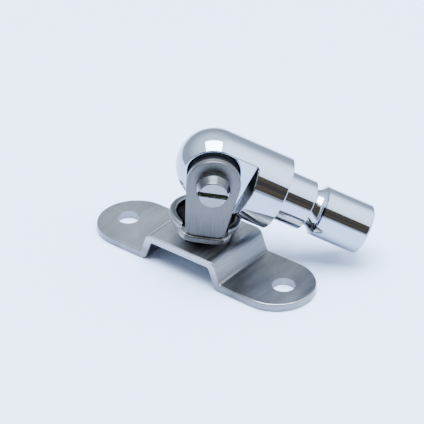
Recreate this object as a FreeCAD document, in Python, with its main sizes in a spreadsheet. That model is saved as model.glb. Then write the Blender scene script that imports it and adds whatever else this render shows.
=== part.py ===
"""Fixed-end bracket of a casement window stay, in millimetres.

A hat-shaped strap screws to the window frame. A pressed cup with one upright ear swivels and rocks on a
rivet in the strap's raised middle. A domed knuckle hinges on a screw through the ear, whose nut sits in a
recess in the knuckle's far side. A necked socket for the rod turns in a collar at the knuckle's end.

World frame: the origin is midway between the two screw holes on the mounting plane, X runs along the
strap, and Z points up along the swivel rivet. Three more frames follow the moving pieces at rest:
the clevis frame (origin at the rocking centre in the cup's floor, Z up the ear, Y along the pivot screw),
the pin frame (the same directions, origin at the pivot screw) and the knuckle frame (origin at the pivot
screw, X along the knuckle towards the rod).
"""
import FreeCAD, Part
import os
import Sketcher

SIZES = {
    # base plate: a 2 mm strap bent into a hat
    "plate_length": 62.0,
    "plate_width": 19.2,
    "plate_thickness": 2.0,
    "pad_rise": 5.4,
    "pad_half": 10.0,
    "web_run": 2.0,
    "hole_spacing": 47.5,
    "screw_hole_radius": 2.8,
    "bend_inside": 0.6,
    "bend_outside": 1.8,
    "plate_edge_round": 0.35,
    # swivel rivet and its washers
    "shank_radius": 2.3,
    "rivet_head_radius": 4.3,
    "rivet_head_height": 1.7,
    "rivet_dome": 1.3,
    "rivet_tail_radius": 3.2,
    "rivet_tail_height": 1.3,
    "tail_washer_radius": 3.9,
    "tail_washer_thickness": 0.8,
    "washer_bore_radius": 2.4,
    "seat_gap": 1.3,
    "head_gap": 2.65,
    "lower_cushion_radius": 5.6,
    "lower_cushion_inner": 0.85,
    "lower_cushion_outer": 0.32,
    "upper_cushion_radius": 5.2,
    "upper_cushion_inner": 1.35,
    "upper_cushion_outer": 0.8,
    # pressed cup and ear
    "sheet": 1.7,
    "cup_radius": 8.7,
    "cup_corner": 3.7,
    "cup_rim_height": 3.4,
    "cup_hole_radius": 2.9,
    "rim_round": 0.7,
    "bowl_radius": 10.25,
    "bowl_corner": 6.2,
    "bowl_height": 5.6,
    "notch_start": 4.0,
    "notch_width": 1.5,
    "notch_floor": 1.4,
    "lip_half": 6.3,
    "lip_front": 9.45,
    "lip_low": 0.2,
    "lip_high": 2.1,
    "lip_back": 4.0,
    "lip_inside": 7.6,
    "lip_corner": 3.9,
    "lip_top_round": 0.5,
    "lip_under_round": 0.9,
    "ear_outside": 8.9,
    "ear_radius": 6.3,
    "ear_taper": 7.0,
    "ear_edge_round": 0.3,
    "pin_rise": 16.4,
    # pivot screw, nut and bush
    "pin_radius": 2.4,
    "pin_hole_radius": 2.5,
    "screw_head_radius": 4.0,
    "screw_head_height": 4.5,
    "screw_face_radius": 3.25,
    "screw_rim_height": 2.2,
    "screw_head_round": 0.4,
    "slot_width": 1.3,
    "slot_depth": 1.4,
    "far_washer_radius": 4.9,
    "far_washer_thickness": 0.6,
    "lock_washer_radius": 4.2,
    "lock_washer_thickness": 1.1,
    "lock_washer_split": 0.8,
    "nut_corner_radius": 4.62,
    "nut_height": 2.7,
    "nut_chamfer": 0.4,
    "screw_end": 0.7,
    "bush_radius": 3.48,
    "bush_bore_radius": 2.45,
    "friction_washer_radius": 5.9,
    "running_gap": 0.1,
    # knuckle
    "knuckle_radius": 9.0,
    "knuckle_length": 16.7,
    "flat_depth": 5.5,
    "shoulder": 8.1,
    "shoulder_lean": 15.0,
    "shoulder_round": 0.6,
    "bush_hole_radius": 3.5,
    "nut_recess_radius": 5.2,
    "nut_recess_seat": 3.0,
    "gland_bore_radius": 4.9,
    "gland_bore_start": 8.8,
    "knuckle_edge_round": 0.25,
    "flat_edge_round": 0.35,
    # collar, spindle and rod socket
    "collar_radius": 6.15,
    "collar_end": 24.4,
    "collar_shank_radius": 4.88,
    "collar_shank_start": 11.2,
    "collar_bore_radius": 3.05,
    "spindle_radius": 3.0,
    "spindle_start": 9.2,
    "circlip_groove_radius": 2.4,
    "circlip_radius": 4.1,
    "circlip_thickness": 0.8,
    "circlip_gap": 2.2,
    "spindle_washer_radius": 4.6,
    "spindle_washer_thickness": 0.6,
    "socket_gap": 0.15,
    "barrel_radius": 6.2,
    "barrel_end": 39.6,
    "barrel_round": 0.6,
    "neck_radius": 4.4,
    "cove_radius": 3.2,
    "rod_hole_radius": 3.4,
    "rod_hole_depth": 9.5,
    # rest pose, in degrees
    "swivel_angle": 37.0,
    "rock_angle": 8.5,
    "droop_angle": 26.0,
}

doc = FreeCAD.newDocument("casement_window_stay")
sheet = doc.addObject("Spreadsheet::Sheet", "sizes")
for row, (alias, number) in enumerate(SIZES.items(), start=1):
    cell = "A" + str(row)
    sheet.set(cell, str(number))
    sheet.setAlias(cell, alias)
doc.recompute()

X_AXIS = FreeCAD.Vector(1, 0, 0)
Y_AXIS = FreeCAD.Vector(0, 1, 0)
Z_AXIS = FreeCAD.Vector(0, 0, 1)
REVOLVE_PLANES = {"X": ("XZ_Plane", "H_Axis"), "Y": ("XY_Plane", "V_Axis"), "Z": ("XZ_Plane", "V_Axis")}
THROUGH_ALL = 1

nodes = []


def size(alias):
    return getattr(sheet, alias)


def new_body(name):
    body = doc.addObject("PartDesign::Body", name)
    body.Label = name
    return body


def new_sketch(body, role):
    """A sketch on one of the body's own origin planes."""
    sketch = body.newObject("Sketcher::SketchObject", body.Name + "_sketch")
    plane = next(item for item in body.Origin.OriginFeatures if item.Role == role)
    sketch.AttachmentSupport = [(plane, "")]
    sketch.MapMode = "FlatFace"
    return sketch


def pin_point(sketch, geometry, vertex, across, up):
    """Bind one sketch point's two coordinates to expressions."""
    for kind, expression in (("DistanceX", across), ("DistanceY", up)):
        index = sketch.addConstraint(Sketcher.Constraint(kind, -1, 1, geometry, vertex, 1.0))
        sketch.setExpression("Constraints[%d]" % index, expression)


def polygon(sketch, corners):
    """A closed outline whose corners are (across, up) expressions."""
    first = sketch.GeometryCount
    count = len(corners)
    start = [FreeCAD.Rotation(Z_AXIS, 360.0 * i / count).multVec(X_AXIS) for i in range(count)]
    for i in range(count):
        sketch.addGeometry(Part.LineSegment(start[i], start[(i + 1) % count]), False)
    for i in range(count):
        sketch.addConstraint(Sketcher.Constraint("Coincident", first + i, 2, first + (i + 1) % count, 1))
    for i, (across, up) in enumerate(corners):
        pin_point(sketch, first + i, 1, across, up)


def circle(sketch, across, up, radius):
    """A circle whose centre and radius are expressions."""
    index = sketch.addGeometry(Part.Circle(FreeCAD.Vector(1, 1, 0), Z_AXIS, 1.0), False)
    pin_point(sketch, index, 3, across, up)
    bound = sketch.addConstraint(Sketcher.Constraint("Radius", index, 1.0))
    sketch.setExpression("Constraints[%d]" % bound, radius)


def box_outline(low_across, high_across, low_up, high_up):
    return [(low_across, low_up), (high_across, low_up), (high_across, high_up), (low_across, high_up)]


def turn(body, kind, axis, corners):
    """A Revolution or Groove of an outline given along and away from the axis."""
    role, axis_name = REVOLVE_PLANES[axis]
    sketch = new_sketch(body, role)
    if axis == "X":
        polygon(sketch, [(along, away) for away, along in corners])
    else:
        polygon(sketch, corners)
    feature = body.newObject("PartDesign::" + kind, body.Name + "_" + kind.lower())
    feature.Profile = sketch
    feature.ReferenceAxis = (sketch, [axis_name])
    feature.Angle = 360.0
    doc.recompute()
    return feature


def pad(body, sketch, length):
    """A pad of the given length, half on each side of the sketch."""
    feature = body.newObject("PartDesign::Pad", body.Name + "_pad")
    feature.Profile = sketch
    feature.Midplane = True
    feature.setExpression("Length", length)
    doc.recompute()
    return feature


def pocket_through(body, sketch):
    """A pocket through everything on both sides of the sketch."""
    feature = body.newObject("PartDesign::Pocket", body.Name + "_pocket")
    feature.Profile = sketch
    feature.Type = THROUGH_ALL
    feature.Midplane = True
    doc.recompute()
    return feature


def drill(body, role, across, up, radius):
    sketch = new_sketch(body, role)
    circle(sketch, across, up, radius)
    return pocket_through(body, sketch)


def round_edges(body, radius, wanted, kind="Fillet"):
    """A Fillet or Chamfer of the edges of the body's tip that pass the test."""
    base = body.Tip
    names = ["Edge%d" % i for i, edge in enumerate(base.Shape.Edges, start=1) if wanted(edge)]
    feature = body.newObject("PartDesign::" + kind, body.Name + "_" + kind.lower())
    feature.Base = (base, names)
    feature.setExpression("Radius" if kind == "Fillet" else "Size", radius)
    doc.recompute()
    return feature


def is_kind(edge, kind):
    """True for an edge of this curve type; a ball's pole is an edge without a curve."""
    return not edge.Degenerated and edge.Curve.TypeId == "Part::Geom" + kind


def is_circle(edge, radius, axis, place):
    """True for a circular edge of this radius whose centre lies at this place along the axis."""
    if not is_kind(edge, "Circle") or abs(edge.Curve.Radius - radius) > 0.01:
        return False
    return abs(edge.Curve.Center.dot(axis) - place) < 0.01


def is_line_along(edge, axis):
    if not is_kind(edge, "Line"):
        return False
    return abs(abs(edge.Curve.Direction.dot(axis)) - 1.0) < 1e-6


def combine(kind, name, base, tool):
    """Boolean of two shapes, with the seams between joined faces removed."""
    result = doc.addObject(kind, name)
    result.Label = name
    result.Base = base
    result.Tool = tool
    result.Refine = True
    doc.recompute()
    return result


def add_node(item, placement=None):
    if placement is not None:
        item.Placement = placement
    nodes.append(item)


def ring(name, axis, inner, outer, low, high):
    """A flat washer or sleeve about an axis."""
    body = new_body(name)
    turn(body, "Revolution", axis, box_outline(inner, outer, low, high))
    return body


# Frames of the moving pieces in the rest pose.
rock_height = size("pad_rise") + size("plate_thickness") + size("seat_gap") + size("sheet") / 2
swivel_turn = FreeCAD.Rotation(Z_AXIS, size("swivel_angle"))
clevis_turn = swivel_turn.multiply(FreeCAD.Rotation(Y_AXIS, size("rock_angle")))
knuckle_turn = swivel_turn.multiply(FreeCAD.Rotation(Y_AXIS, size("droop_angle")))
rock_centre = Z_AXIS * rock_height
pin_centre = rock_centre + clevis_turn.multVec(Z_AXIS * size("pin_rise"))
clevis_frame = FreeCAD.Placement(rock_centre, clevis_turn)
pin_frame = FreeCAD.Placement(pin_centre, clevis_turn)
knuckle_frame = FreeCAD.Placement(pin_centre, knuckle_turn)

PLATE_TOP = "sizes.pad_rise + sizes.plate_thickness"
ROCK_HEIGHT = PLATE_TOP + " + sizes.seat_gap + sizes.sheet / 2"
HEAD_SEAT = ROCK_HEIGHT + " + sizes.head_gap"
EAR_INSIDE = "sizes.ear_outside - sizes.sheet"
FAR_WASHER_SEAT = "sizes.nut_recess_seat + sizes.running_gap"
LOCK_WASHER_SEAT = FAR_WASHER_SEAT + " + sizes.far_washer_thickness"
NUT_SEAT = LOCK_WASHER_SEAT + " + sizes.lock_washer_thickness"


def make_base_plate():
    body = new_body("base_plate")
    half_length = "sizes.plate_length / 2"
    end_radius = "sizes.plate_width / 2"
    end_centre = half_length + " - " + end_radius
    outline = new_sketch(body, "XY_Plane")
    polygon(outline, box_outline("-(" + end_centre + ")", end_centre, "-" + end_radius, end_radius))
    pad(body, outline, "2 * (" + PLATE_TOP + ")")
    for side in ("", "-"):
        end = new_sketch(body, "XY_Plane")
        circle(end, side + "(" + end_centre + ")", "0", end_radius)
        pad(body, end, "2 * (" + PLATE_TOP + ")")

    # The hat's side view is what is left between the space above it and the space below it.
    web_length = "sqrt(sizes.web_run ^ 2 + sizes.pad_rise ^ 2)"
    foot_top = "sizes.pad_half + sizes.web_run"
    mitre = "sizes.plate_thickness * (sizes.web_run - " + web_length + ") / sizes.pad_rise"
    pad_under = "sizes.pad_half + " + mitre
    foot_under = pad_under + " + sizes.web_run"
    beyond = "sizes.plate_length"
    above = [
        ("sizes.pad_half", PLATE_TOP),
        (foot_top, "sizes.plate_thickness"),
        (beyond, "sizes.plate_thickness"),
        (beyond, "2 * (" + PLATE_TOP + ")"),
    ]
    below = [
        (pad_under, "sizes.pad_rise"),
        (foot_under, "0"),
        (beyond, "0"),
        (beyond, "-2 * (" + PLATE_TOP + ")"),
    ]
    for half in (above, below):
        mirrored = [("-(" + across + ")", up) for across, up in reversed(half)]
        side_view = new_sketch(body, "XZ_Plane")
        polygon(side_view, half + mirrored)
        pocket_through(body, side_view)

    def is_bend(edge, outside):
        if not is_line_along(edge, Y_AXIS):
            return False
        middle = edge.valueAt((edge.FirstParameter + edge.LastParameter) / 2)
        if abs(middle.x) > size("pad_half") + size("web_run") + 0.1:
            return False
        top_side = middle.z > size("plate_thickness") + 0.1
        on_upper_face = abs(middle.z - size("pad_rise") - size("plate_thickness")) < 0.01
        on_upper_face = on_upper_face or abs(middle.z - size("plate_thickness")) < 0.01
        convex = top_side == on_upper_face
        return convex == outside

    round_edges(body, "sizes.bend_inside", lambda edge: is_bend(edge, False))
    round_edges(body, "sizes.bend_outside", lambda edge: is_bend(edge, True))
    for place in ("-sizes.hole_spacing / 2", "sizes.hole_spacing / 2"):
        drill(body, "XY_Plane", place, "0", "sizes.screw_hole_radius")
    drill(body, "XY_Plane", "0", "0", "sizes.shank_radius + 0.02")

    def is_outline(edge):
        centre = edge.CenterOfMass
        on_side = abs(abs(centre.y) - size("plate_width") / 2) < 0.01 and edge.BoundBox.YLength < 0.01
        on_end = abs(centre.x) > size("hole_spacing") / 2 + size("screw_hole_radius") + 0.5
        return on_side or on_end

    round_edges(body, "sizes.plate_edge_round", is_outline)
    return body


def make_swivel_rivet():
    body = new_body("swivel_rivet")
    tail_seat = "sizes.pad_rise - sizes.tail_washer_thickness"
    tail_end = tail_seat + " - sizes.rivet_tail_height"
    head_top = HEAD_SEAT + " + sizes.rivet_head_height"
    turn(body, "Revolution", "Z", [
        ("0", tail_end),
        ("sizes.rivet_tail_radius", tail_end),
        ("sizes.rivet_tail_radius", tail_seat),
        ("sizes.shank_radius", tail_seat),
        ("sizes.shank_radius", HEAD_SEAT),
        ("sizes.rivet_head_radius", HEAD_SEAT),
        ("sizes.rivet_head_radius", head_top),
        ("0", head_top),
    ])
    top = rock_height + size("head_gap") + size("rivet_head_height")
    bottom = size("pad_rise") - size("tail_washer_thickness") - size("rivet_tail_height")
    round_edges(body, "sizes.rivet_dome",
                lambda edge: is_circle(edge, size("rivet_head_radius"), Z_AXIS, top))
    round_edges(body, "sizes.rivet_dome / 2",
                lambda edge: is_circle(edge, size("rivet_tail_radius"), Z_AXIS, bottom))
    return body


def make_lower_cushion():
    """Conical washer: thinner at its rim, so that the cup can lean on it."""
    body = new_body("lower_cushion")
    turn(body, "Revolution", "Z", [
        ("sizes.washer_bore_radius", PLATE_TOP),
        ("sizes.lower_cushion_radius", PLATE_TOP),
        ("sizes.lower_cushion_radius", PLATE_TOP + " + sizes.lower_cushion_outer"),
        ("sizes.washer_bore_radius", PLATE_TOP + " + sizes.lower_cushion_inner"),
    ])
    return body


def make_upper_cushion():
    body = new_body("upper_cushion")
    turn(body, "Revolution", "Z", [
        ("sizes.washer_bore_radius", HEAD_SEAT + " - sizes.upper_cushion_inner"),
        ("sizes.upper_cushion_radius", HEAD_SEAT + " - sizes.upper_cushion_outer"),
        ("sizes.upper_cushion_radius", HEAD_SEAT),
        ("sizes.washer_bore_radius", HEAD_SEAT),
    ])
    return body


def make_foot_lip():
    """The pressing's outer corner in front of the ear's foot, standing a little proud of the ear."""
    body = new_body("foot_lip")
    front = new_sketch(body, "XZ_Plane")
    polygon(front, box_outline("-sizes.lip_half", "sizes.lip_half", "sizes.lip_low", "sizes.lip_high"))
    pad(body, front, "2 * sizes.lip_front")
    back = new_sketch(body, "XY_Plane")
    polygon(back, box_outline("-2 * sizes.lip_half", "2 * sizes.lip_half", "-sizes.lip_back",
                              "2 * sizes.lip_front"))
    pocket_through(body, back)
    round_edges(body, "sizes.lip_corner",
                lambda edge: is_line_along(edge, Z_AXIS) and edge.BoundBox.YMax < -size("lip_back") - 0.1)

    def lies_at(edge, height):
        flat = edge.BoundBox.ZLength < 0.001 and abs(edge.BoundBox.ZMin - height) < 0.001
        return flat and edge.BoundBox.YMin < -size("lip_back") - 0.1

    round_edges(body, "sizes.lip_top_round", lambda edge: lies_at(edge, size("lip_high")))
    round_edges(body, "sizes.lip_under_round", lambda edge: lies_at(edge, size("lip_low")))
    drill(body, "XY_Plane", "0", "0", "sizes.lip_inside")
    return body


def make_clevis_cup():
    """One pressing: a round dish, and a strip bent up from its floor as the ear."""
    floor_under = "-sizes.sheet / 2"
    floor_top = "sizes.sheet / 2"
    inner_corner = "sizes.cup_corner - sizes.sheet"

    strip = new_body("ear_strip")
    outline = new_sketch(strip, "XZ_Plane")
    # Each flank touches the round top and narrows by the taper angle down to the cup's floor.
    foot_half = ("sizes.ear_radius / cos(sizes.ear_taper)"
                 " - (sizes.pin_rise + sizes.sheet / 2) * tan(sizes.ear_taper)")
    touch_half = "sizes.ear_radius * cos(sizes.ear_taper)"
    touch_height = "sizes.pin_rise - sizes.ear_radius * sin(sizes.ear_taper)"
    polygon(outline, [
        ("-(" + foot_half + ")", floor_under),
        (foot_half, floor_under),
        (touch_half, touch_height),
        ("-" + touch_half, touch_height),
    ])
    pad(strip, outline, "2 * sizes.ear_outside")
    top = new_sketch(strip, "XZ_Plane")
    circle(top, "0", "sizes.pin_rise", "sizes.ear_radius")
    pad(strip, top, "2 * sizes.ear_outside")

    half_sheet = size("sheet") / 2

    def is_bend(edge, height):
        near_ear = edge.BoundBox.YMax < -size("ear_outside") / 2
        return near_ear and is_line_along(edge, X_AXIS) and abs(edge.BoundBox.ZMin - height) < 0.01

    def is_ear_edge(edge):
        box = edge.BoundBox
        on_outer_face = abs(box.YMax + size("ear_outside")) < 0.01 and box.YLength < 0.01
        return on_outer_face and not is_line_along(edge, X_AXIS) and box.ZMax > size("pin_rise") / 2

    round_edges(strip, "sizes.cup_corner", lambda edge: is_bend(edge, -half_sheet))
    round_edges(strip, "sizes.ear_edge_round", is_ear_edge)
    inside = new_sketch(strip, "YZ_Plane")
    polygon(inside, [
        ("-(" + EAR_INSIDE + ")", "2 * sizes.pin_rise"),
        ("-(" + EAR_INSIDE + ")", floor_top),
        ("0", floor_top),
        ("0", "-2 * sizes.sheet"),
        ("2 * sizes.ear_outside", "-2 * sizes.sheet"),
        ("2 * sizes.ear_outside", "2 * sizes.pin_rise"),
    ])
    pocket_through(strip, inside)
    round_edges(strip, inner_corner, lambda edge: is_bend(edge, half_sheet))
    drill(strip, "XZ_Plane", "0", "sizes.pin_rise", "sizes.pin_hole_radius")
    drill(strip, "XY_Plane", "0", "0", "sizes.cup_hole_radius")

    dish = new_body("dish")
    turn(dish, "Revolution", "Z", [
        ("sizes.cup_hole_radius", floor_under),
        ("sizes.cup_radius", floor_under),
        ("sizes.cup_radius", "sizes.cup_rim_height"),
        ("sizes.cup_radius - sizes.sheet", "sizes.cup_rim_height"),
        ("sizes.cup_radius - sizes.sheet", floor_top),
        ("sizes.cup_hole_radius", floor_top),
    ])
    inner_radius = size("cup_radius") - size("sheet")
    round_edges(dish, inner_corner, lambda edge: is_circle(edge, inner_radius, Z_AXIS, half_sheet))
    round_edges(dish, "sizes.cup_corner",
                lambda edge: is_circle(edge, size("cup_radius"), Z_AXIS, -half_sheet))
    rim = size("cup_rim_height")
    round_edges(dish, "sizes.rim_round", lambda edge: edge.BoundBox.ZMin > rim - 0.01)

    # The strip's foot follows a bowl, so that its corners don't stand out of the round dish.
    bowl = new_body("bowl")
    turn(bowl, "Revolution", "Z", [
        ("0", floor_under),
        ("sizes.bowl_radius", floor_under),
        ("sizes.bowl_radius", "sizes.bowl_height"),
        ("2 * sizes.bowl_radius", "sizes.bowl_height"),
        ("2 * sizes.bowl_radius", "2 * sizes.pin_rise"),
        ("0", "2 * sizes.pin_rise"),
    ])
    round_edges(bowl, "sizes.bowl_corner",
                lambda edge: is_circle(edge, size("bowl_radius"), Z_AXIS, -half_sheet))
    ear = combine("Part::Common", "ear", strip, bowl)

    # Relief notches part the rim from the ear's flanks.
    for start in ("sizes.notch_start", "-(sizes.notch_start + sizes.notch_width)"):
        notch = doc.addObject("Part::Box", "rim_notch")
        notch.setExpression("Length", "sizes.notch_width")
        notch.setExpression("Width", "0.75 * sizes.ear_outside")
        notch.setExpression("Height", "sizes.cup_rim_height")
        notch.setExpression("Placement.Base.x", start)
        notch.setExpression("Placement.Base.y", "-1.2 * sizes.ear_outside")
        notch.setExpression("Placement.Base.z", "sizes.notch_floor")
        dish = combine("Part::Cut", "notched_dish", dish, notch)

    front = combine("Part::Fuse", "ear_and_lip", ear, make_foot_lip())
    return combine("Part::Fuse", "clevis_cup", dish, front)


def make_pivot_screw():
    """Slotted screw along Y: a tapered head outside the ear, and its tip in the nut's recess."""
    body = new_body("pivot_screw")
    seat = "-sizes.ear_outside"
    head_top = seat + " - sizes.screw_head_height"
    tip = NUT_SEAT + " + sizes.nut_height + sizes.screw_end"
    turn(body, "Revolution", "Y", [
        ("0", head_top),
        ("sizes.screw_face_radius", head_top),
        ("sizes.screw_head_radius", seat + " - sizes.screw_rim_height"),
        ("sizes.screw_head_radius", seat),
        ("sizes.pin_radius", seat),
        ("sizes.pin_radius", tip),
        ("0", tip),
    ])
    front = -size("ear_outside") - size("screw_head_height")
    rim = -size("ear_outside") - size("screw_rim_height")

    def is_head_edge(edge):
        return (is_circle(edge, size("screw_face_radius"), Y_AXIS, front)
                or is_circle(edge, size("screw_head_radius"), Y_AXIS, rim))

    def is_tip(edge):
        far = edge.BoundBox.YMin > size("nut_recess_seat") + size("nut_height")
        return far and is_kind(edge, "Circle")

    round_edges(body, "sizes.screw_head_round", is_head_edge)
    round_edges(body, "sizes.screw_end / 2", is_tip, "Chamfer")
    slot = new_sketch(body, "YZ_Plane")
    polygon(slot, box_outline(head_top + " - 1", head_top + " + sizes.slot_depth",
                              "-sizes.slot_width / 2", "sizes.slot_width / 2"))
    pocket_through(body, slot)
    return body


def make_lock_washer():
    """Split spring washer under the nut."""
    body = ring("pivot_lock_washer", "Y", "sizes.pin_hole_radius", "sizes.lock_washer_radius",
                LOCK_WASHER_SEAT, NUT_SEAT)
    split = new_sketch(body, "XZ_Plane")
    polygon(split, box_outline("-sizes.lock_washer_split / 2", "sizes.lock_washer_split / 2",
                               "0", "2 * sizes.lock_washer_radius"))
    pocket_through(body, split)
    return body


def make_pivot_nut():
    """Hexagon nut: a chamfered disc cut to six flats, with a bore for the screw."""
    disc = ring("nut_disc", "Y", "sizes.pin_radius + 0.02", "sizes.nut_corner_radius",
                NUT_SEAT, NUT_SEAT + " + sizes.nut_height")
    round_edges(disc, "sizes.nut_chamfer",
                lambda edge: is_kind(edge, "Circle")
                and abs(edge.Curve.Radius - size("nut_corner_radius")) < 0.01, "Chamfer")
    prism = doc.addObject("Part::Prism", "nut_prism")
    prism.Polygon = 6
    prism.setExpression("Circumradius", "sizes.nut_corner_radius")
    prism.setExpression("Height", "4 * sizes.ear_outside")
    prism.Placement = FreeCAD.Placement(FreeCAD.Vector(), FreeCAD.Rotation(X_AXIS, -90))
    return combine("Part::Common", "pivot_nut", disc, prism)


def make_knuckle_body():
    """Cylinder with a round end about the pivot, a flat for the ear's washer, and the nut's recess."""
    body = new_body("knuckle_body")
    ball = body.newObject("PartDesign::AdditiveSphere", "knuckle_ball")
    ball.setExpression("Radius", "sizes.knuckle_radius")
    doc.recompute()
    turn(body, "Revolution", "X", box_outline("0", "sizes.knuckle_radius", "0", "sizes.knuckle_length"))
    flat = new_sketch(body, "XY_Plane")
    beyond = "2 * sizes.knuckle_radius"
    # The shoulder leans away from the ear, from its root out to the cylinder's skin.
    lean = " + (" + beyond + " - sizes.flat_depth) * tan(sizes.shoulder_lean)"
    polygon(flat, [
        ("-" + beyond, "-" + beyond),
        ("sizes.shoulder" + lean, "-" + beyond),
        ("sizes.shoulder", "-sizes.flat_depth"),
        ("-" + beyond, "-sizes.flat_depth"),
    ])
    pocket_through(body, flat)

    def is_shoulder_root(edge):
        return is_line_along(edge, Z_AXIS) and abs(edge.BoundBox.XMin - size("shoulder")) < 0.01

    def is_flat_edge(edge):
        box = edge.BoundBox
        on_flat = abs(box.YMax + size("flat_depth")) < 0.01 and box.YLength < 0.01
        return on_flat and box.XMin < size("shoulder") - 0.1

    round_edges(body, "sizes.shoulder_round", is_shoulder_root)
    round_edges(body, "sizes.flat_edge_round", is_flat_edge)
    drill(body, "XZ_Plane", "0", "0", "sizes.bush_hole_radius")
    turn(body, "Groove", "Y", box_outline("0", "sizes.nut_recess_radius", "sizes.nut_recess_seat", beyond))
    turn(body, "Groove", "X", box_outline("0", "sizes.gland_bore_radius", "sizes.gland_bore_start",
                                          "sizes.knuckle_length + 1"))
    round_edges(body, "sizes.knuckle_edge_round",
                lambda edge: is_circle(edge, size("knuckle_radius"), X_AXIS, size("knuckle_length")))
    return body


def make_gland_collar():
    """Stepped bush: its shank fills the knuckle's end bore and its collar stands out behind."""
    body = new_body("gland_collar")
    turn(body, "Revolution", "X", [
        ("sizes.collar_bore_radius", "sizes.collar_shank_start"),
        ("sizes.collar_shank_radius", "sizes.collar_shank_start"),
        ("sizes.collar_shank_radius", "sizes.knuckle_length"),
        ("sizes.collar_radius", "sizes.knuckle_length"),
        ("sizes.collar_radius", "sizes.collar_end"),
        ("sizes.collar_bore_radius", "sizes.collar_end"),
    ])
    round_edges(body, "sizes.knuckle_edge_round",
                lambda edge: is_circle(edge, size("collar_radius"), X_AXIS, size("collar_end")))
    return body


def make_rod_socket():
    """Spindle, concave neck and barrel in one turned piece, with a hole for the rod in its end."""
    body = new_body("rod_socket")
    neck_start = "sizes.collar_end + sizes.socket_gap"
    clip_end = "sizes.collar_shank_start - sizes.spindle_washer_thickness"
    clip_start = clip_end + " - sizes.circlip_thickness"
    turn(body, "Revolution", "X", [
        ("0", "sizes.spindle_start"),
        ("sizes.spindle_radius", "sizes.spindle_start"),
        ("sizes.spindle_radius", neck_start),
        ("sizes.barrel_radius", neck_start),
        ("sizes.barrel_radius", "sizes.barrel_end"),
        ("0", "sizes.barrel_end"),
    ])
    turn(body, "Groove", "X", box_outline("sizes.circlip_groove_radius", "2 * sizes.spindle_radius",
                                          clip_start, clip_end))
    cove = new_sketch(body, "XZ_Plane")
    circle(cove, neck_start, "sizes.neck_radius + sizes.cove_radius", "sizes.cove_radius")
    groove = body.newObject("PartDesign::Groove", "rod_socket_cove")
    groove.Profile = cove
    groove.ReferenceAxis = (cove, ["H_Axis"])
    groove.Angle = 360.0
    doc.recompute()
    hole_end = "sizes.barrel_end - sizes.rod_hole_depth"
    turn(body, "Groove", "X", box_outline("0", "sizes.rod_hole_radius", hole_end, "sizes.barrel_end + 1"))
    round_edges(body, "sizes.barrel_round",
                lambda edge: is_circle(edge, size("barrel_radius"), X_AXIS, size("barrel_end")))
    return body


def make_spindle_washer():
    return ring("spindle_washer", "X", "sizes.collar_bore_radius", "sizes.spindle_washer_radius",
                "sizes.collar_shank_start - sizes.spindle_washer_thickness", "sizes.collar_shank_start")


def make_spindle_circlip():
    """Open retaining ring that sits in the spindle's groove."""
    high = "sizes.collar_shank_start - sizes.spindle_washer_thickness"
    body = ring("spindle_circlip", "X", "sizes.circlip_groove_radius", "sizes.circlip_radius",
                high + " - sizes.circlip_thickness", high)
    gap = new_sketch(body, "YZ_Plane")
    polygon(gap, box_outline("-sizes.circlip_gap / 2", "sizes.circlip_gap / 2",
                             "0", "2 * sizes.circlip_radius"))
    pocket_through(body, gap)
    return body


add_node(make_base_plate())
add_node(make_swivel_rivet())
add_node(ring("rivet_washer", "Z", "sizes.washer_bore_radius", "sizes.tail_washer_radius",
              "sizes.pad_rise - sizes.tail_washer_thickness", "sizes.pad_rise"))
add_node(make_lower_cushion())
add_node(make_upper_cushion())
add_node(make_clevis_cup(), clevis_frame)
add_node(make_pivot_screw(), pin_frame)
add_node(ring("friction_washer_near", "Y", "sizes.pin_hole_radius", "sizes.friction_washer_radius",
              "-(" + EAR_INSIDE + ")", "-(sizes.flat_depth + sizes.running_gap)"), pin_frame)
add_node(ring("friction_washer_far", "Y", "sizes.pin_hole_radius", "sizes.far_washer_radius",
              FAR_WASHER_SEAT, LOCK_WASHER_SEAT), pin_frame)
add_node(make_lock_washer(), pin_frame)
add_node(make_pivot_nut(), pin_frame)
add_node(make_knuckle_body(), knuckle_frame)
add_node(ring("pivot_bush", "Y", "sizes.bush_bore_radius", "sizes.bush_radius",
              "-sizes.flat_depth", "sizes.nut_recess_seat"), knuckle_frame)
add_node(make_gland_collar(), knuckle_frame)
add_node(make_rod_socket(), knuckle_frame)
add_node(make_spindle_washer(), knuckle_frame)
add_node(make_spindle_circlip(), knuckle_frame)
doc.recompute()

for item in doc.Objects:
    if "Invalid" in item.State or "Error" in item.State:
        raise RuntimeError("%s did not rebuild: %s" % (item.Name, item.State))

os.makedirs("parts", exist_ok=True)
for node in nodes:
    if node.Shape.isNull() or not node.Shape.isValid() or len(node.Shape.Solids) != 1:
        raise RuntimeError("%s is not one valid solid" % node.Label)
    node.Shape.exportStep("parts/" + node.Label + ".step")
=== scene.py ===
"""Looks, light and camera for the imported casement-stay bracket, in metres and in the frame of the CAD."""
import math

import bpy
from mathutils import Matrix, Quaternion, Vector

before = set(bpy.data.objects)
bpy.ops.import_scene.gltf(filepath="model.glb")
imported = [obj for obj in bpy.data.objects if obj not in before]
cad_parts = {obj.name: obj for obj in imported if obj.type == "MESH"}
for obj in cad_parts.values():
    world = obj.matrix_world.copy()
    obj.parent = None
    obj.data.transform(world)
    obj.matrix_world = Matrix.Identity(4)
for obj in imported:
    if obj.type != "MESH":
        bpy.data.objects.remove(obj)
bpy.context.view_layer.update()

MM = 0.001


def rgb(*value):
    return (*value, 1.0)


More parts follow.
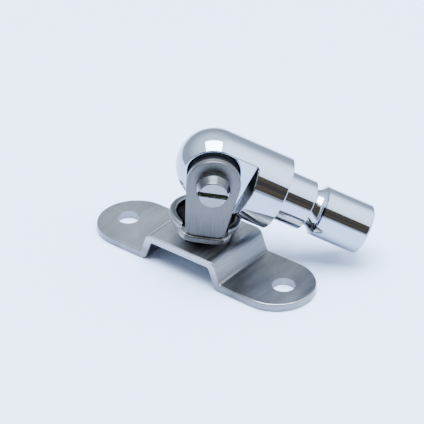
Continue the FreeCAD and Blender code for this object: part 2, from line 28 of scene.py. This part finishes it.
# ---------------------------------------------------------------- places and colours
# Each piece's own frame at rest: its centre in mm, and its turn about X, Y and Z.
SWIVEL, ROCK, DROOP = (math.radians(angle) for angle in (37.0, 8.5, 26.0))
PIN_CENTRE = (1.936, 1.459, 25.770)
STRAP_FRAME = ((0, 0, 0), (0, 0, 0))
CUP_FRAME = ((0, 0, 9.55), (0, ROCK, SWIVEL))
PIN_FRAME = (PIN_CENTRE, (0, ROCK, SWIVEL))
KNUCKLE_FRAME = (PIN_CENTRE, (0, DROOP, SWIVEL))

# Spans in those frames, in mm, over which a look begins or ends.
# span of the painted shade on the foot beside the bend
FOOT_SHADE_X = (12.5, 20.0)
FOOT_TOP_Z = (2.3, 3.5)
STREAKS_X = (4.5, 9.6)
STREAKS_FADE_Y = (-2.0, 4.0)
RAISED_TOP_Z = (6.5, 7.2)
STRAP_EDGE_Y = (9.3, 9.5)
RAISED_EDGE_Z = (3.0, 6.0)

DISH_RADIUS = (7.15, 7.45)
DISH_Z = (-0.3, 3.1)
RIM_BOTTOM_Z, RIM_TOP_Z = (2.9, 3.2), (3.5, 3.8)
UNDERSIDE_Z = (-0.4, 0.8)
BEHIND_FACE_Y = (-8.6, -8.4)
EAR_BACK_Y = (-7.45, -7.3)
ABOVE_RIM_Z = (2.5, 3.5)
EAR_FACE_Y = (-8.5, -8.8)
EAR_FOOT_Z = (1.5, 9.0)
EAR_SIDE_Y = (-8.8, -7.35)
EAR_SIDE_Z = (6.0, 9.0)

CONE_RADIUS = (3.2, 3.3)
CONE_BACK_Y = (-11.2, -11.0)
SLOT_Z = (-0.66, 0.66)
SLOT_MOUTH_Y, SLOT_FLOOR_Y = (-13.3, -13.25), (-11.9, -11.8)

FLAT_Y = 5.5
SHOULDER_SLOPE = 0.268
SHOULDER_X = (7.6, 8.125)
SHOULDER_BACK_Y = (-5.55, -5.5)
SHOULDER_Z = (-1.0, 2.0)

# painted dark reflection and shade on the strap, beside the bend and under the cup
DARK_REFLECTION_SHADE = rgb(0.06, 0.058, 0.056)
# painted sheen: lighter grain streaks on the strap's raised middle
STREAK_SHEEN = rgb(0.52, 0.505, 0.485)
# painted sheen on the strap's side faces
SIDE_SHEEN = rgb(0.42, 0.405, 0.385)
# painted light on the cup's rim and underside
RIM_UNDERSIDE_LIGHT = rgb(0.62, 0.60, 0.57)
EAR_DARK, EAR_LIGHT = rgb(0.035, 0.031, 0.028), rgb(0.056, 0.050, 0.045)
# painted shade inside the cup's dish and behind the ear
DISH_SHADE = rgb(0.012, 0.012, 0.013)
# painted shade on the cone of the pivot screw's head
CONE_SHADE = rgb(0.05, 0.05, 0.05)
# painted reflection in the screw's slot, lighter and greener than the face
SLOT_REFLECTION = rgb(0.27, 0.28, 0.235)
CHROME_TINT = (0.36, 0.38, 0.415)
CUT_DARK, CUT_LIGHT = rgb(0.62, 0.63, 0.65), rgb(0.92, 0.93, 0.95)
# painted dark reflection on the upper part of the knuckle's shoulder
SHOULDER_DARK_REFLECTION = rgb(0.03, 0.028, 0.027)
RUBBER_BLACK = (0.003, 0.003, 0.0035)
FLOOR_DARK, FLOOR_LIGHT = rgb(0.64, 0.71, 0.87), rgb(0.65, 0.72, 0.88)
DOORWAY_DARK, DOORWAY_LIGHT = rgb(0.17, 0.13, 0.105), rgb(0.32, 0.225, 0.13)
ROOM_TINT = rgb(0.80, 0.965, 1.20)
LAMP_TINT = (0.80, 0.95, 1.19)

EDGE_FROM, EDGE_FULLY = 0.52, 0.62    # pointiness of an edge
LEAST_ROUGH = 0.08


# ---------------------------------------------------------------- node helpers
class Tree:
    """A node tree with short calls for its nodes."""

    def __init__(self, tree):
        self.tree = tree

    def add(self, kind, inputs=None, **settings):
        node = self.tree.nodes.new(kind)
        for key, value in settings.items():
            setattr(node, key, value)
        for key, value in (inputs or {}).items():
            self.put(node.inputs[key], value)
        return node

    def put(self, socket, value):
        if isinstance(value, bpy.types.NodeSocket):
            self.tree.links.new(value, socket)
        else:
            socket.default_value = value

    def mix(self, share, first, second, blend="MIX"):
        inputs = {0: share, 6: first, 7: second}
        return self.add("ShaderNodeMix", inputs, data_type="RGBA", blend_type=blend).outputs[2]

    def math(self, operation, first, second=0.0):
        return self.add("ShaderNodeMath", {0: first, 1: second}, operation=operation).outputs[0]

    def plus(self, first, second):
        return self.math("ADD", first, second)

    def times(self, first, second):
        return self.math("MULTIPLY", first, second)

    def smooth_step(self, value, low, high):
        made = self.add("ShaderNodeMapRange", {"Value": value, "From Min": low, "From Max": high},
                        interpolation_type="SMOOTHSTEP")
        return made.outputs["Result"]

    def along(self, direction, way):
        """Cosine between a direction and a fixed way in the room."""
        made = self.add("ShaderNodeVectorMath", {0: direction, 1: Vector(way).normalized()},
                        operation="DOT_PRODUCT")
        return made.outputs["Value"]


class Finish(Tree):
    """A material's node tree, with patterns laid out in the frame of the CAD."""

    def __init__(self, name):
        self.material = bpy.data.materials.new(name)
        self.material.use_nodes = True
        super().__init__(self.material.node_tree)
        self.shader = self.tree.nodes["Principled BSDF"]
        self.place = self.add("ShaderNodeTexCoord").outputs["Object"]

    def noise(self, scale, detail=3.0, rough=0.55, stretch=(1, 1, 1), turn=(0, 0, 0)):
        mapping = self.add("ShaderNodeMapping", {"Vector": self.place, "Scale": stretch, "Rotation": turn})
        made = self.add("ShaderNodeTexNoise", {"Vector": mapping.outputs["Vector"], "Scale": scale,
                                               "Detail": detail, "Roughness": rough})
        return made.outputs["Fac"]

    def remap(self, value, low, high, to_low=0.0, to_high=1.0):
        made = self.add("ShaderNodeMapRange", {"Value": value, "From Min": low, "From Max": high,
                                               "To Min": to_low, "To Max": to_high})
        return made.outputs["Result"]

    def grows(self, value, span, most=1.0):
        """0 where a span of a coordinate starts, and `most` where it ends."""
        return self.remap(value, *span, 0.0, most)

    def fades(self, value, span, least=0.0):
        """1 where a span of a coordinate starts, and `least` where it ends."""
        return self.remap(value, *span, 1.0, least)

    def between(self, value, span, soft):
        """1 inside a span of a coordinate, fading to 0 over `soft` on both sides."""
        low, high = span
        rise = self.grows(value, (low - soft, low + soft))
        fall = self.fades(value, (high - soft, high + soft))
        return self.times(rise, fall)

    def local(self, place):
        """X, Y and Z in millimetres in the frame of one piece."""
        centre, turned = place
        mapping = self.add("ShaderNodeMapping", {"Vector": self.place, "Location": [c * MM for c in centre],
                                                 "Rotation": turned, "Scale": (MM, MM, MM)},
                           vector_type="TEXTURE")
        return self.add("ShaderNodeSeparateXYZ", {"Vector": mapping.outputs["Vector"]}).outputs

    def radius(self, first, second):
        """Distance from an axis, by the two coordinates across it."""
        return self.math("SQRT", self.plus(self.times(first, first), self.times(second, second)))

    def outer_edges(self, most):
        """How much a surface counts as an outer edge, from 0 on flat faces to `most` on outer edges."""
        pointiness = self.add("ShaderNodeNewGeometry").outputs["Pointiness"]
        return self.remap(pointiness, EDGE_FROM, EDGE_FULLY, 0.0, most)

    def bump(self, height, strength, distance):
        made = self.add("ShaderNodeBump", {"Height": height, "Strength": strength, "Distance": distance})
        self.put(self.shader.inputs["Normal"], made.outputs["Normal"])

    def set(self, **values):
        for key, value in values.items():
            self.put(self.shader.inputs[key.replace("_", " ")], value)


# ---------------------------------------------------------------- materials
def steel(name, tint, dark, rough, grain_scale, stretch, grain=0.16, depth=0.004, local_look=None):
    """Satin stainless: grain along one way, soft blotches, fine scratches, and outer edges lighter, partly
    rubbed wear and partly a painted edge highlight.
    """
    n = Finish(name)
    lines = n.noise(grain_scale, 4.0, 0.65, stretch)
    blotch = n.noise(120.0, 3.0, 0.5)
    fine = n.noise(5200.0, 2.0, 0.7)
    shade = n.remap(n.plus(n.times(lines, 0.6), n.times(blotch, 0.4)), 0.32, 0.68)
    colour = n.mix(shade, rgb(*dark), rgb(*tint))
    # outer edges lighter: rubbed wear and a painted edge highlight
    colour = n.mix(n.outer_edges(0.55), colour, rgb(*(min(1.0, c * 1.25) for c in tint)))
    if local_look:
        colour = local_look(n, colour)
    worn = n.plus(n.times(n.math("SUBTRACT", lines, 0.5), grain),
                  n.times(n.math("SUBTRACT", blotch, 0.5), grain * 0.6))
    n.set(Base_Color=colour, Metallic=1.0, Roughness=n.math("MAXIMUM", n.plus(worn, rough), LEAST_ROUGH))
    n.bump(n.plus(lines, n.times(fine, 0.35)), 0.35, depth * MM)
    return n.material


def strap_look(n, colour):
    """Painted dark reflection and shade beside the bend and on the raised middle, in grain streaks; lighter
    grain streaks of painted sheen across the raised middle, weaker towards the far side; and painted sheen
    on the side faces, growing towards the top.
    """
    x, y, z = n.local(STRAP_FRAME)
    streak = n.remap(n.noise(420.0, 3.0, 0.55, (1, 0.16, 1)), 0.38, 0.62, 0.35, 1.0)
    foot = n.times(n.between(x, FOOT_SHADE_X, 2.2), n.fades(z, FOOT_TOP_Z))
    middle = n.times(n.between(x, STREAKS_X, 1.2), n.grows(z, RAISED_TOP_Z))
    # painted dark reflection and shade: strongest beside the bend on the foot, fainter on the raised
    # middle, broken into grain streaks
    reflection_and_shade = n.times(n.math("MAXIMUM", foot, n.times(middle, 0.3)), streak)
    colour = n.mix(n.times(reflection_and_shade, 0.7), colour, DARK_REFLECTION_SHADE)
    # lighter grain streaks across the raised middle: painted sheen, weaker towards the far side
    shine = n.remap(n.noise(760.0, 3.0, 0.6, (1, 0.12, 1)), 0.44, 0.60, 0.0, 0.75)
    shine = n.times(shine, n.fades(y, STREAKS_FADE_Y, least=0.25))
    colour = n.mix(n.times(middle, shine), colour, STREAK_SHEEN)
    # side faces of the strap paler, growing towards the top: painted sheen
    edge = n.times(n.grows(n.math("ABSOLUTE", y), STRAP_EDGE_Y), n.grows(z, RAISED_EDGE_Z, most=0.6))
    return n.mix(edge, colour, SIDE_SHEEN)


def cup_look(n, colour):
    """Painted shade inside the dish and behind the ear, painted light on the rim and the underside, and a
    grey grained ear, its face darker towards the foot and its side faces darker towards the top, both
    painted shade.
    """
    x, y, z = n.local(CUP_FRAME)
    dish = n.times(n.fades(n.radius(x, y), DISH_RADIUS), n.between(z, DISH_Z, 0.15))
    # rim and underside lightened, away from the ear's face: painted light
    rim = n.times(n.grows(z, RIM_BOTTOM_Z), n.fades(z, RIM_TOP_Z))
    bright = n.math("MAXIMUM", rim, n.fades(z, UNDERSIDE_Z))
    colour = n.mix(n.times(bright, n.grows(y, BEHIND_FACE_Y)), colour, RIM_UNDERSIDE_LIGHT)
    behind = n.times(n.grows(y, EAR_BACK_Y), n.grows(z, ABOVE_RIM_Z))
    streak = n.remap(n.noise(1700.0, 3.0, 0.6, (1, 1, 0.12)), 0.36, 0.64)
    # real grain on the ear; its face takes more of the dark grained colour towards the foot and its side
    # faces more towards the top: painted shade
    on_face = n.times(n.grows(y, EAR_FACE_Y), n.remap(z, *EAR_FOOT_Z, 0.92, 0.66))
    on_side = n.times(n.between(y, EAR_SIDE_Y, 0.1), n.grows(z, EAR_SIDE_Z, most=0.5))
    colour = n.mix(n.math("MAXIMUM", on_face, on_side), colour, n.mix(streak, EAR_DARK, EAR_LIGHT))
    # inside the dish and behind the ear, near black: painted shade
    return n.mix(n.math("MAXIMUM", dish, behind), colour, DISH_SHADE)


def screw_look(n, colour):
    """Painted shade on the cone round the head, and a painted reflection in the slot, lighter and greener
    than the face.
    """
    x, y, z = n.local(PIN_FRAME)
    # the cone round the head darkened: painted shade
    cone = n.times(n.grows(n.radius(x, z), CONE_RADIUS), n.fades(y, CONE_BACK_Y))
    colour = n.mix(n.times(cone, 0.75), colour, CONE_SHADE)
    # walls and floor of the slot: painted reflection
    slot = n.times(n.between(z, SLOT_Z, 0.01), n.grows(y, SLOT_MOUTH_Y))
    return n.mix(n.times(slot, n.fades(y, SLOT_FLOOR_Y)), colour, SLOT_REFLECTION)


def chrome(name, milled=False):
    """Polished chrome plate: almost flawless, with faint haze, polishing swirls and a slight waviness."""
    n = Finish(name)
    haze = n.noise(260.0, 4.0, 0.6)
    swirl = n.noise(900.0, 3.0, 0.6, (1, 1, 0.15), (0, 0.45, 0.64))
    wave = n.noise(140.0, 1.0, 0.4)
    colour = n.mix(n.remap(haze, 0.35, 0.65), rgb(*(c * 0.965 for c in CHROME_TINT)), rgb(*CHROME_TINT))
    rough = n.remap(n.plus(haze, swirl), 0.7, 1.3, 0.025, 0.075)
    if milled:
        # the shoulder's cutter marks, and its painted dark reflection
        shoulder, marks_and_dark_reflection = milled_shoulder(n)
        colour = n.mix(shoulder, colour, marks_and_dark_reflection)
        rough = n.plus(rough, n.times(shoulder, 0.38))
    n.set(Base_Color=colour, Metallic=1.0, Roughness=rough)
    n.bump(n.plus(wave, n.times(swirl, 0.04)), 0.18, 0.03 * MM)
    return n.material


def milled_shoulder(n):
    """Where the leaning shoulder beside the knuckle's flat is, and its colour: banded cutter marks, going
    over into a painted dark reflection towards the top.
    """
    x, y, z = n.local(KNUCKLE_FRAME)
    leaning = n.plus(x, n.times(n.plus(y, FLAT_Y), SHOULDER_SLOPE))
    shoulder = n.times(n.between(leaning, SHOULDER_X, 0.02), n.fades(y, SHOULDER_BACK_Y))
    lines = n.remap(n.noise(2600.0, 2.0, 0.6), 0.35, 0.65)
    # cutter marks low on the shoulder, painted dark reflection higher up
    marks_and_dark_reflection = n.mix(n.grows(z, SHOULDER_Z), n.mix(lines, CUT_DARK, CUT_LIGHT), SHOULDER_DARK_REFLECTION)
    return shoulder, marks_and_dark_reflection


def black(name, pebble):
    """Moulded rubber or nylon: matt, slightly greyed on its edges, with a fine pebbled skin."""
    n = Finish(name)
    skin = n.noise(pebble, 4.0, 0.6)
    dust = n.noise(300.0, 4.0, 0.6)
    dusty = rgb(*(c * 2 + 0.001 for c in RUBBER_BLACK))
    worn = rgb(*(c * 2 + 0.003 for c in RUBBER_BLACK))
    colour = n.mix(n.remap(dust, 0.4, 0.75, 0.0, 0.5), rgb(*RUBBER_BLACK), dusty)
    n.set(Base_Color=n.mix(n.outer_edges(0.5), colour, worn))
    n.set(Roughness=n.remap(dust, 0.3, 0.7, 0.62, 0.78), Specular_IOR_Level=0.05)
    n.bump(skin, 0.4, 0.02 * MM)
    return n.material


def floor_material():
    n = Finish("pale_floor")
    mottle = n.noise(9.0, 2.0, 0.5)
    n.set(Base_Color=n.mix(n.remap(mottle, 0.3, 0.7), FLOOR_DARK, FLOOR_LIGHT))
    n.set(Roughness=0.7, Specular_IOR_Level=0.2)
    n.bump(n.noise(900.0, 2.0, 0.5), 0.05, 0.02 * MM)
    return n.material


MATERIALS = {
    "plate": steel("plate_steel", tint=(0.235, 0.227, 0.218), dark=(0.13, 0.126, 0.121), rough=0.31,
                   grain_scale=420.0, stretch=(1, 0.14, 1), grain=0.12, depth=0.002,
                   local_look=strap_look),
    "cup": steel("cup_steel", tint=(0.25, 0.23, 0.21), dark=(0.20, 0.185, 0.17), rough=0.42,
                 grain_scale=900.0, stretch=(1, 1, 0.1), local_look=cup_look),
    "turned": steel("screw_steel", tint=(0.22, 0.215, 0.205), dark=(0.18, 0.175, 0.165), rough=0.24,
                    grain_scale=1400.0, stretch=(1, 1, 0.3), local_look=screw_look),
    "rivet": steel("rivet_steel", tint=(0.17, 0.165, 0.16), dark=(0.12, 0.115, 0.11), rough=0.38,
                   grain_scale=1200.0, stretch=(1, 1, 1)),
    "spring": steel("spring_steel", tint=(0.16, 0.16, 0.17), dark=(0.10, 0.10, 0.11), rough=0.38,
                    grain_scale=1500.0, stretch=(1, 1, 1)),
    "brass": steel("bush_brass", tint=(0.72, 0.54, 0.26), dark=(0.58, 0.42, 0.18), rough=0.28,
                   grain_scale=1500.0, stretch=(1, 1, 0.2)),
    "chrome": chrome("bright_chrome"),
    "knuckle": chrome("knuckle_chrome", milled=True),
    "rubber": black("black_rubber", pebble=2600.0),
    "nylon": black("black_nylon", pebble=4200.0),
}
FINISHES = {
    "base_plate": "plate",
    "swivel_rivet": "rivet",
    "rivet_washer": "rivet",
    "lower_cushion": "rubber",
    "upper_cushion": "rubber",
    "clevis_cup": "cup",
    "pivot_screw": "turned",
    "friction_washer_near": "nylon",
    "friction_washer_far": "nylon",
    "pivot_lock_washer": "rivet",
    "pivot_nut": "turned",
    "knuckle_body": "knuckle",
    "pivot_bush": "brass",
    "gland_collar": "chrome",
    "rod_socket": "chrome",
    "spindle_washer": "nylon",
    "spindle_circlip": "spring",
}
for node, finish in FINISHES.items():
    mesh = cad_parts[node].data
    mesh.materials.clear()
    mesh.materials.append(MATERIALS[finish])


# ---------------------------------------------------------------- directions in the room
AZIMUTH, ELEVATION, DISTANCE = math.radians(38.0), math.radians(32.55), 0.4345
RIGHT = Vector((math.cos(AZIMUTH), math.sin(AZIMUTH), 0))
LOOK = -Vector((math.sin(AZIMUTH) * math.cos(ELEVATION), -math.cos(AZIMUTH) * math.cos(ELEVATION),
                math.sin(ELEVATION)))
UP = RIGHT.cross(LOOK)
AHEAD = Vector((-math.sin(AZIMUTH), math.cos(AZIMUTH), 0))
HEIGHT = Vector((0, 0, 1))


def around(right, ahead, height):
    """A way by how far it leads to the camera's right, away from the camera and up."""
    return RIGHT * right + AHEAD * ahead + HEIGHT * height


def doorway_side(turn):
    """A level way, turned in degrees from the camera's right towards the near side of the room."""
    return around(math.cos(math.radians(turn)), -math.sin(math.radians(turn)), 0)


GLOW = around(0.83, -0.07, 0.58)
DOOR_RIGHT, DOOR_LEFT = doorway_side(180.0 - 43.0), doorway_side(60.0)


# ---------------------------------------------------------------- stage and light
def pale_room():
    """A pale room: greyer far wall, brighter right side and ceiling, dark doorway low on the near side."""
    world = bpy.data.worlds.new("pale_room")
    world.use_nodes = True
    n = Tree(world.node_tree)
    direction = n.add("ShaderNodeTexCoord").outputs["Generated"]
    rise = n.along(direction, HEIGHT)
    ceiling = n.times(n.smooth_step(rise, 0.25, 0.95), 1.7)
    far_wall = n.times(n.smooth_step(n.along(direction, -AHEAD), -0.55, -1.0), -0.15)
    right_side = n.times(n.smooth_step(n.along(direction, GLOW), 0.62, 0.97), 2.6)
    pale = n.plus(n.plus(ceiling, 1.15), n.plus(far_wall, right_side))
    above_sill = n.smooth_step(rise, 0.075, 0.095)
    below_lintel = n.math("SUBTRACT", 1.0, n.smooth_step(rise, 0.80, 0.90))
    wide = n.times(n.smooth_step(n.along(direction, DOOR_RIGHT), -0.01, 0.01),
                   n.smooth_step(n.along(direction, DOOR_LEFT), 0.0, 0.1))
    doorway = n.times(n.times(above_sill, below_lintel), wide)
    clutter = n.add("ShaderNodeTexNoise", {"Vector": direction, "Scale": 7.0, "Detail": 3.0})
    inside = n.mix(n.smooth_step(clutter.outputs["Fac"], 0.38, 0.62), DOORWAY_DARK, DOORWAY_LIGHT)
    tinted = n.mix(1.0, n.mix(doorway, pale, inside), ROOM_TINT, blend="MULTIPLY")
    n.put(n.tree.nodes["Background"].inputs["Color"], tinted)
    return world


def lay_floor(half):
    """A square floor at the underside of the strap, its mottling turned half round."""
    mesh = bpy.data.meshes.new("floor")
    corners = [(-half, -half, 0), (half, -half, 0), (half, half, 0), (-half, half, 0)]
    mesh.from_pydata(corners, [], [(0, 1, 2, 3)])
    mesh.materials.append(floor_material())
    card = bpy.data.objects.new("floor", mesh)
    bpy.context.scene.collection.objects.link(card)
    card.rotation_euler.z = math.pi


def hang_softbox(name, width, height, turn, power, colour):
    """A square lamp that faces straight down, turned about the vertical."""
    light = bpy.data.lights.new(name, "AREA")
    light.shape = "RECTANGLE"
    light.size = light.size_y = width
    light.energy = power
    light.color = colour
    lamp = bpy.data.objects.new(name, light)
    bpy.context.scene.collection.objects.link(lamp)
    lamp.location = HEIGHT * height
    lamp.rotation_mode = "QUATERNION"
    lamp.rotation_quaternion = Quaternion(HEIGHT, turn)
    lamp.visible_camera = False


lay_floor(half=3.0)
bpy.context.scene.world = pale_room()
hang_softbox("overhead", width=0.77, height=1.025, turn=AZIMUTH, power=48.0, colour=LAMP_TINT)


# ---------------------------------------------------------------- camera
SENSOR_WIDTH = 36.0
FOCAL_PIXELS, IMAGE_PIXELS = 1800, 424
AIM = (RIGHT * 1.94 + UP * 10.85) * MM

camera_data = bpy.data.cameras.new("camera")
camera_data.sensor_width = SENSOR_WIDTH
camera_data.lens = SENSOR_WIDTH * FOCAL_PIXELS / IMAGE_PIXELS
camera_data.clip_start, camera_data.clip_end = 0.01, 20.0
camera = bpy.data.objects.new("camera", camera_data)
bpy.context.scene.collection.objects.link(camera)
camera.location = AIM - LOOK * DISTANCE
camera.rotation_mode = "QUATERNION"
camera.rotation_quaternion = LOOK.to_track_quat("-Z", "Y")
bpy.context.scene.camera = camera
